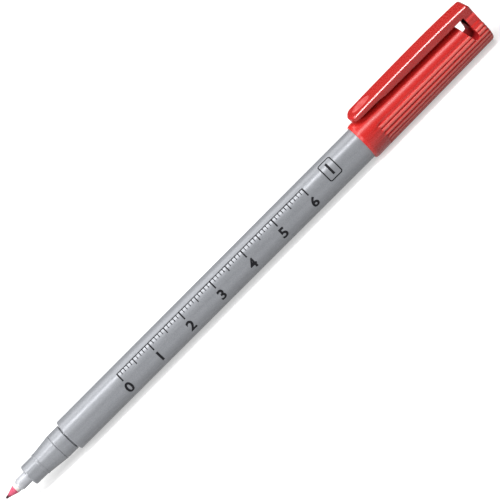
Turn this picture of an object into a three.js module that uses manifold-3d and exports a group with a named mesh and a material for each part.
// A fine-point non-permanent fibre marker with its cap posted on the rear end.
// Millimetres. The marker lies along X with its nib towards -X and the pocket clip straight up.
// The origin is on the surface it lies on, under the middle of its length.
// Stations are distances from the nib's point, and radii are from the marker's long axis.
import * as THREE from "three";
import { mergeVertices } from "three/addons/utils/BufferGeometryUtils.js";
import Module from "manifold-3d";

const wasm = await Module();
wasm.setup();

// Nib, the white sleeve round its shank, and the tube that holds both.
const nibHeadLength = 3.07;
const nibHeadInset = 0.04;
const nibPointRound = 0.25;
const nibShankRadius = 0.65;
const nibInReservoir = 9;
const sleeveWall = 0.43;
const sleeveShows = 0.93;
const sleeveInHolder = 9.1;
const holderWall = 0.33;
const holderShows = 3.39;
const holderInSection = 6.7;
const holderRoundLength = 0.6;
const holderRoundHeight = 0.3;

// Front section: a stepped nose, a taper, the seat that seals in the cap, and a thin neck that
// leaves a dark gap before the barrel.
const noseLength = 3.66;
const noseWall = 1.19;
const noseChamfer = 0.35;
const stepLength = 0.7;
const stepHeight = 0.18;
const taperLength = 5.1;
const taperShoulder = 0.02;
const snapGrooveWidth = 0.25;
const snapGrooveDepth = 0.16;
const seatShows = 3.45;
const seatRadius = 3.52;
const neckLength = 0.45;
const neckDepth = 0.28;
const tailLength = 11.7;
const tailStep = 0.1;
const tailWall = 0.6;
const tailCavityLength = 11;

// Barrel: one long tube with a little draft, wider at the rear.
const barrelLength = 99.2;
const barrelFrontWall = 0.53;
const barrelRearWall = 0.67;
const barrelEdgeRound = 0.22;

// End plug: pushed into the barrel, with a spigot that the posted cap seals on.
const plugInBarrel = 8;
const plugFlangeLength = 0.6;
const plugFlangeWidth = 0.4;
const plugSpigotLength = 7;
const plugWall = 0.8;
const plugEndWall = 1.2;
const plugEndRound = 0.8;

// Ink reservoir and its film.
const filmWall = 0.12;
const filmClearance = 0.05;

// Cap shell: a rim band, a ribbed body, a vent slot under the clip root, and a collar.
const capLength = 39;
const capBoreDepth = 4.65;
const capRimWall = 0.52;
const capRimRoundLength = 0.95;
const capRimRoundHeight = 0.42;
const capMouthChamfer = 0.1;
const capStepLength = 0.6;
const capBodyWall = 0.55;
const capEndRound = 0.75;
const collarLength = 2.75;
const slotWidth = 1.6;
const slotLean = 0.9;
const slotFloorDrop = 0.3;
const capEndWall = 1.5;
const ribCount = 17;
const ribHeight = 0.2;
const ribBeadRadius = 0.3;
const firstRibAngle = THREE.MathUtils.degToRad(70.7);

// Inner cap: the airtight cup inside the shell.
const linerWall = 0.45;
const linerDraft = 0.4;
const linerSealRunOut = 0.8;
const linerNeckLength = 1.6;
const linerEndWall = 0.7;
const linerEndGap = 0.6;
const linerEndRound = 0.5;

// Pocket clip: a bowed arm over the cap, thinner towards its tip, with a gripping pad there.
const clipWidth = 5.6;
const clipTipInset = 1.5;
const clipTipRound = 2.1;
const clipTipGap = 0.83;
const clipRootGap = 0.9;
const clipTipThickness = 1.22;
const clipRootThickness = 1.76;
const clipBow = 0.33;
const clipBowShift = 7.2;
const clipThinLength = 7.5;
const clipThickenLength = 2.2;
const clipThickenDrop = 0.34;
const clipEndRound = 0.9;
const clipEdgeRound = 0.35;
const clipRootDepth = 2.4;
const padInset = 1.8;
const padLength = 5.9;
const padSlope = 1;
const padWidth = 3;
const padClearance = 0.12;

// Fits between pieces.
const pushFit = 0.05;
const pressFit = 0.08;
const slideFit = 0.12;
const endFit = 0.3;

// Stations, from the nib's point to the cap's closed end.
const sleeveFront = nibHeadLength;
const sleeveRear = sleeveFront + sleeveShows + sleeveInHolder;
const holderFront = sleeveFront + sleeveShows;
const sectionFront = holderFront + holderShows;
const holderRear = sectionFront + holderInSection;
const noseRear = sectionFront + noseLength;
const stepRear = noseRear + stepLength;
const taperRear = stepRear + taperLength;
const seatFront = taperRear + snapGrooveWidth;
const barrelFront = seatFront + seatShows;
const sectionRear = barrelFront + tailLength;
const barrelRear = barrelFront + barrelLength;
const plugFront = barrelRear - plugInBarrel;
const plugFlangeRear = barrelRear + plugFlangeLength;
const plugRear = plugFlangeRear + plugSpigotLength;
const reservoirFront = sectionRear + endFit;
const reservoirRear = plugFront - endFit;
const nibRear = reservoirFront + nibInReservoir;
const capShoulder = plugFlangeRear + endFit;
const capRim = capShoulder - capBoreDepth;
const capEnd = capRim + capLength;
const slotRear = capEnd - collarLength;
const slotFront = slotRear - slotWidth;
const capBoreEnd = slotFront - capEndWall;
const linerFront = capShoulder + pushFit;
const linerRear = capBoreEnd - linerEndGap;
const linerSealRear = plugRear + linerSealRunOut;
const linerNeckRear = linerSealRear + linerNeckLength;
const clipTip = capRim + clipTipInset;

// Radii, from the nib's shank outwards.
const sleeveBore = nibShankRadius + pushFit;
const sleeveRadius = sleeveBore + sleeveWall;
const nibHeadRadius = sleeveRadius - nibHeadInset;
const holderBore = sleeveRadius + pushFit;
const holderRadius = holderBore + holderWall;
const sectionBore = holderRadius + pressFit;
const noseRadius = sectionBore + noseWall;
const stepRadius = noseRadius + stepHeight;
const shankBore = nibShankRadius + slideFit;
const tailRadius = seatRadius + tailStep;
const tailBore = tailRadius - tailWall;
const barrelBore = tailRadius + pressFit;
const barrelFrontRadius = barrelBore + barrelFrontWall;
const barrelRearRadius = barrelBore + barrelRearWall;
const plugFlangeRadius = barrelBore + plugFlangeWidth;
const filmRadius = tailRadius - filmClearance;
const filmBore = filmRadius - filmWall;
const reservoirRadius = filmBore - pushFit;
const capBore = barrelRearRadius + slideFit;
const capRimRadius = capBore + capRimWall;
const linerBore = seatRadius + slideFit;
const linerRadius = linerBore + linerWall;
const linerEndRadius = linerRadius - linerDraft;
const shellBore = linerRadius + pressFit;
const shellBoreEnd = linerEndRadius + pressFit;
const bodyRadius = shellBore + capBodyWall;
const bodyEndRadius = shellBoreEnd + capBodyWall;
const crestRadius = bodyRadius + ribHeight;
const crestEndRadius = bodyEndRadius + ribHeight;

// Farther from the axis than any surface, for the prisms that cut across the cap.
const cutReach = 3 * capRimRadius;

const bigRound = 48;
const smallRound = 24;
const curveSteps = 3;

const satinGrey = new THREE.MeshStandardMaterial({ color: 0x9da0a8, roughness: 0.38, metalness: 0.25 });
const paleGrey = new THREE.MeshStandardMaterial({ color: 0xbfc1c6, roughness: 0.4, metalness: 0.1 });
const whitePlastic = new THREE.MeshStandardMaterial({ color: 0xecebe6, roughness: 0.45, metalness: 0 });
const redFibre = new THREE.MeshStandardMaterial({ color: 0xa5122c, roughness: 0.85, metalness: 0 });
const redPlastic = new THREE.MeshStandardMaterial({ color: 0xc62230, roughness: 0.28, metalness: 0 });
const naturalPlastic = new THREE.MeshStandardMaterial({ color: 0xe4e2da, roughness: 0.5, metalness: 0 });
const inkedFibre = new THREE.MeshStandardMaterial({ color: 0xb03044, roughness: 0.95, metalness: 0 });
const clearFilm = new THREE.MeshStandardMaterial({ color: 0xe9eaec, roughness: 0.25, metalness: 0 });

// A profile in the half plane of radius and station, drawn with the outer side towards the rear.
function profile(radius, station) {
  return new THREE.Path().moveTo(radius, station);
}

// Turns a profile about the marker's long axis, which becomes X.
function turned(path, segments) {
  const geometry = new THREE.LatheGeometry(path.getPoints(curveSteps), segments);
  return geometry.rotateZ(-Math.PI / 2);
}

function solidOf(geometry) {
  const loose = geometry.index ? geometry.toNonIndexed() : geometry;
  const bare = new THREE.BufferGeometry().setAttribute("position", loose.getAttribute("position"));
  const merged = mergeVertices(bare, 1e-4);
  const vertProperties = merged.getAttribute("position").array;
  const triVerts = new Uint32Array(merged.index.array);
  return new wasm.Manifold(new wasm.Mesh({ numProp: 3, vertProperties, triVerts }));
}

function geometryOf(solid) {
  const { vertProperties, triVerts } = solid.getMesh();
  const geometry = new THREE.BufferGeometry();
  geometry.setAttribute("position", new THREE.BufferAttribute(vertProperties, 3));
  geometry.setIndex(new THREE.BufferAttribute(triVerts, 1));
  geometry.computeVertexNormals();
  return geometry;
}

// Extrudes a side view, drawn in station and height, evenly to both sides of the middle plane.
function sideExtrusion(shape, width, edge = 0) {
  const geometry = new THREE.ExtrudeGeometry(shape, {
    depth: width - 2 * edge,
    curveSegments: 12,
    bevelEnabled: edge > 0,
    bevelThickness: edge,
    bevelSize: edge,
    bevelOffset: -edge,
    bevelSegments: 2,
  });
  return geometry.translate(0, 0, edge - width / 2).rotateX(Math.PI / 2);
}

function plainTube(bore, radius, front, rear, segments) {
  const path = profile(bore, front);
  path.lineTo(radius, front);
  path.lineTo(radius, rear);
  path.lineTo(bore, rear);
  path.lineTo(bore, front);
  return turned(path, segments);
}

// The fibre nib: a cone with a rounded point, on a thin shank that reaches the reservoir.
function nib() {
  const coneAngle = Math.atan2(nibHeadRadius - nibPointRound, nibHeadLength - nibPointRound);
  const path = profile(0, 0);
  path.absarc(0, nibPointRound, nibPointRound, -Math.PI / 2, -coneAngle, false);
  path.lineTo(nibHeadRadius, nibHeadLength);
  path.lineTo(nibShankRadius, nibHeadLength);
  path.lineTo(nibShankRadius, nibRear);
  path.lineTo(0, nibRear);
  return turned(path, smallRound);
}

function nibSleeve() {
  return plainTube(sleeveBore, sleeveRadius, sleeveFront, sleeveRear, smallRound);
}

// The holder's tube, whose front edge is rounded where it shows.
function nibHolder() {
  const path = profile(holderBore, holderFront);
  path.lineTo(holderRadius - holderRoundHeight, holderFront);
  path.quadraticCurveTo(holderRadius, holderFront, holderRadius, holderFront + holderRoundLength);
  path.lineTo(holderRadius, holderRear);
  path.lineTo(holderBore, holderRear);
  path.lineTo(holderBore, holderFront);
  return turned(path, smallRound);
}

// The section carries the nib in its nose, and its tail is pressed into the barrel.
function frontSection() {
  const grooveRadius = seatRadius - snapGrooveDepth;
  const neckRadius = seatRadius - neckDepth;
  const cavityFront = sectionRear - tailCavityLength;
  const path = profile(sectionBore, sectionFront);
  path.lineTo(noseRadius - noseChamfer, sectionFront);
  path.lineTo(noseRadius, sectionFront + noseChamfer);
  path.lineTo(noseRadius, noseRear);
  path.lineTo(stepRadius, noseRear + stepHeight);
  path.lineTo(stepRadius, stepRear);
  path.lineTo(seatRadius - taperShoulder, taperRear);
  path.lineTo(grooveRadius, taperRear);
  path.lineTo(grooveRadius, seatFront);
  path.lineTo(seatRadius, seatFront);
  path.lineTo(seatRadius, barrelFront - neckLength);
  path.lineTo(neckRadius, barrelFront - neckLength);
  path.lineTo(neckRadius, barrelFront + endFit);
  path.lineTo(tailRadius, barrelFront + endFit);
  path.lineTo(tailRadius, sectionRear);
  path.lineTo(tailBore, sectionRear);
  path.lineTo(tailBore, cavityFront);
  path.lineTo(shankBore, cavityFront);
  path.lineTo(shankBore, holderRear + endFit);
  path.lineTo(sectionBore, holderRear + endFit);
  path.lineTo(sectionBore, sectionFront);
  return turned(path, bigRound);
}

function barrel() {
  const path = profile(barrelBore, barrelFront);
  path.lineTo(barrelFrontRadius - barrelEdgeRound, barrelFront);
  path.quadraticCurveTo(barrelFrontRadius, barrelFront, barrelFrontRadius, barrelFront + barrelEdgeRound);
  path.lineTo(barrelRearRadius, barrelRear - barrelEdgeRound);
  path.quadraticCurveTo(barrelRearRadius, barrelRear, barrelRearRadius - barrelEdgeRound, barrelRear);
  path.lineTo(barrelBore, barrelRear);
  path.lineTo(barrelBore, barrelFront);
  return turned(path, bigRound);
}

function inkReservoir() {
  const path = profile(shankBore, reservoirFront);
  path.lineTo(reservoirRadius, reservoirFront);
  path.lineTo(reservoirRadius, reservoirRear);
  path.lineTo(0, reservoirRear);
  path.lineTo(0, nibRear + endFit);
  path.lineTo(shankBore, nibRear + endFit);
  path.lineTo(shankBore, reservoirFront);
  return turned(path, bigRound);
}

function reservoirWrap() {
  return plainTube(filmBore, filmRadius, reservoirFront, reservoirRear, bigRound);
}

// The plug is a cup, open towards the reservoir, whose flange covers the barrel's end.
function endPlug() {
  const path = profile(tailRadius - plugWall, plugFront);
  path.lineTo(tailRadius, plugFront);
  path.lineTo(tailRadius, barrelRear);
  path.lineTo(plugFlangeRadius, barrelRear);
  path.lineTo(plugFlangeRadius, plugFlangeRear);
  path.lineTo(seatRadius, plugFlangeRear);
  path.lineTo(seatRadius, plugRear - plugEndRound);
  path.quadraticCurveTo(seatRadius, plugRear, seatRadius - plugEndRound, plugRear);
  path.lineTo(0, plugRear);
  path.lineTo(0, plugRear - plugEndWall);
  path.lineTo(seatRadius - plugWall, plugRear - plugEndWall);
  path.lineTo(seatRadius - plugWall, plugFlangeRear);
  path.lineTo(tailRadius - plugWall, plugFront);
  return turned(path, bigRound);
}

// The inner cap grips the section's seat, or the plug's spigot when the cap is posted.
function innerCap() {
  const cupRadius = linerEndRadius - linerWall;
  const path = profile(linerBore, linerFront);
  path.lineTo(linerRadius, linerFront);
  path.lineTo(linerEndRadius, linerRear - linerEndRound);
  path.quadraticCurveTo(linerEndRadius, linerRear, linerEndRadius - linerEndRound, linerRear);
  path.lineTo(0, linerRear);
  path.lineTo(0, linerRear - linerEndWall);
  path.lineTo(cupRadius, linerRear - linerEndWall);
  path.lineTo(cupRadius, linerNeckRear);
  path.lineTo(linerBore, linerSealRear);
  path.lineTo(linerBore, linerFront);
  return turned(path, bigRound);
}

// The cap's shell without its ribs, slot and clip root.
function capShell() {
  const path = profile(capBore + capMouthChamfer, capRim);
  path.lineTo(capRimRadius - capRimRoundHeight + capMouthChamfer, capRim);
  path.quadraticCurveTo(capRimRadius, capRim, capRimRadius, capRim + capRimRoundLength);
  path.lineTo(crestRadius, capShoulder);
  path.lineTo(bodyRadius, capShoulder + capStepLength);
  path.lineTo(bodyEndRadius, capEnd - capEndRound);
  path.quadraticCurveTo(bodyEndRadius, capEnd, bodyEndRadius - capEndRound, capEnd);
  path.lineTo(0, capEnd);
  path.lineTo(0, capBoreEnd);
  path.lineTo(shellBoreEnd, capBoreEnd);
  path.lineTo(shellBore, capShoulder);
  path.lineTo(capBore, capShoulder);
  path.lineTo(capBore, capRim + capMouthChamfer);
  path.lineTo(capBore + capMouthChamfer, capRim);
  return solidOf(turned(path, bigRound));
}

// The outline that the crests of the ribs reach, which trims their ends.
function ribEnvelope() {
  const path = profile(0, capShoulder);
  path.lineTo(crestRadius, capShoulder);
  path.lineTo(crestEndRadius, capEnd - capEndRound);
  path.quadraticCurveTo(crestEndRadius, capEnd, crestEndRadius - capEndRound, capEnd);
  path.lineTo(0, capEnd);
  return solidOf(turned(path, bigRound * 2));
}

// One grip rib is a round bead, sunk in the shell, that follows the shell's draft.
function gripRib(angle) {
  const length = Math.hypot(capEnd - capShoulder, crestRadius - crestEndRadius);
  const bead = new THREE.CylinderGeometry(ribBeadRadius, ribBeadRadius, length, 10);
  bead.rotateZ(-Math.PI / 2);
  bead.rotateY(Math.asin((crestRadius - crestEndRadius) / length));
  bead.translate((capShoulder + capEnd) / 2, 0, (crestRadius + crestEndRadius) / 2 - ribBeadRadius);
  bead.rotateX(angle);
  return solidOf(bead);
}

function gripRibs() {
  const pitch = (2 * Math.PI - 2 * firstRibAngle) / (ribCount - 1);
  const beads = Array.from({ length: ribCount }, (_, i) => gripRib(firstRibAngle + i * pitch));
  return beads.reduce((all, bead) => all.add(bead)).intersect(ribEnvelope());
}

// The slot crosses the cap under the clip root. Its front wall leans forward as it rises, and
// its half-round floor lies just past the axis.
function ventSlot() {
  const floorRadius = slotWidth / 2;
  const middle = (slotFront + slotRear) / 2;
  const shape = new THREE.Shape();
  shape.moveTo(slotFront - slotLean, cutReach);
  shape.lineTo(slotFront - slotLean, crestEndRadius);
  shape.lineTo(slotFront, floorRadius - slotFloorDrop);
  shape.absarc(middle, floorRadius - slotFloorDrop, floorRadius, Math.PI, 2 * Math.PI, false);
  shape.lineTo(slotRear, cutReach);
  return solidOf(sideExtrusion(shape, 2 * cutReach));
}

// The height of the clip's outer face over the axis, at its tip and at the cap's closed end.
const clipTipHeight = capRimRadius + clipTipGap + clipTipThickness;
const clipRootHeight = crestEndRadius + clipRootGap + clipRootThickness;

// The whole clip seen from the side: a bowed arm, and a leg that is rooted in the collar.
function clipSideView() {
  const bowHandle = (clipTipHeight + clipRootHeight) / 2 + 2 * clipBow;
  const bowStation = (clipTip + capEnd - clipEndRound) / 2 + clipBowShift;
  const tipBelow = clipTipHeight - clipTipThickness;
  const thinRear = clipTip + clipThinLength;
  const shape = new THREE.Shape();
  shape.moveTo(clipTip, tipBelow);
  shape.lineTo(thinRear, tipBelow);
  shape.lineTo(thinRear + clipThickenLength, tipBelow - clipThickenDrop);
  shape.lineTo(slotRear, crestEndRadius + clipRootGap);
  shape.lineTo(slotRear, clipRootDepth);
  shape.lineTo(capEnd, clipRootDepth);
  shape.lineTo(capEnd, clipRootHeight - clipEndRound);
  shape.quadraticCurveTo(capEnd, clipRootHeight, capEnd - clipEndRound, clipRootHeight);
  shape.quadraticCurveTo(bowStation, bowHandle, clipTip, clipTipHeight);
  return solidOf(sideExtrusion(shape, clipWidth, clipEdgeRound));
}

// The clip seen from above, whose tip is half an ellipse, as a tall prism.
function clipPlan() {
  const tipRear = clipTip + clipTipRound;
  const shape = new THREE.Shape();
  shape.moveTo(capEnd, -clipWidth / 2);
  shape.lineTo(capEnd, clipWidth / 2);
  shape.lineTo(tipRear, clipWidth / 2);
  shape.absellipse(tipRear, 0, clipTipRound, clipWidth / 2, Math.PI / 2, 1.5 * Math.PI, false);
  const settings = { depth: cutReach, bevelEnabled: false, curveSegments: 12 };
  return solidOf(new THREE.ExtrudeGeometry(shape, settings));
}

// The pad under the clip's tip, which presses on the cloth of a pocket.
function clipPad() {
  const top = clipTipHeight - clipTipThickness / 2;
  const sole = capRimRadius + padClearance;
  const front = clipTip + padInset;
  const shape = new THREE.Shape();
  shape.moveTo(front, top);
  shape.lineTo(front, sole + padSlope / 2);
  shape.lineTo(front + padSlope / 2, sole);
  shape.lineTo(front + padLength - padSlope, sole);
  shape.lineTo(front + padLength, sole + padSlope / 2);
  shape.lineTo(front + padLength, top);
  return solidOf(sideExtrusion(shape, padWidth));
}

const clipSolid = clipSideView().intersect(clipPlan());
const rootSpace = solidOf(
  new THREE.BoxGeometry(cutReach, cutReach, 2 * cutReach).translate(slotRear + cutReach / 2, 0, 0),
);

function cap() {
  const root = clipSolid.intersect(rootSpace);
  return geometryOf(capShell().add(gripRibs()).subtract(ventSlot()).add(root));
}

function capClip() {
  return geometryOf(clipSolid.subtract(rootSpace).add(clipPad()));
}

function piece(name, geometry, material) {
  const mesh = new THREE.Mesh(geometry, material);
  mesh.name = name;
  return mesh;
}

const writingEnd = new THREE.Group();
writingEnd.add(
  piece("nib", nib(), redFibre),
  piece("nib_sleeve", nibSleeve(), whitePlastic),
  piece("nib_holder", nibHolder(), paleGrey),
  piece("front_section", frontSection(), satinGrey),
);

const inkStore = new THREE.Group();
inkStore.add(
  piece("ink_reservoir", inkReservoir(), inkedFibre),
  piece("reservoir_wrap", reservoirWrap(), clearFilm),
  piece("barrel", barrel(), satinGrey),
  piece("end_plug", endPlug(), redPlastic),
);

const postedCap = new THREE.Group();
postedCap.add(
  piece("cap", cap(), redPlastic),
  piece("inner_cap", innerCap(), naturalPlastic),
  piece("cap_clip", capClip(), redPlastic),
);

const marker = new THREE.Group();
marker.add(writingEnd, inkStore, postedCap);
marker.position.set(-capEnd / 2, 0, capRimRadius);

export default marker;
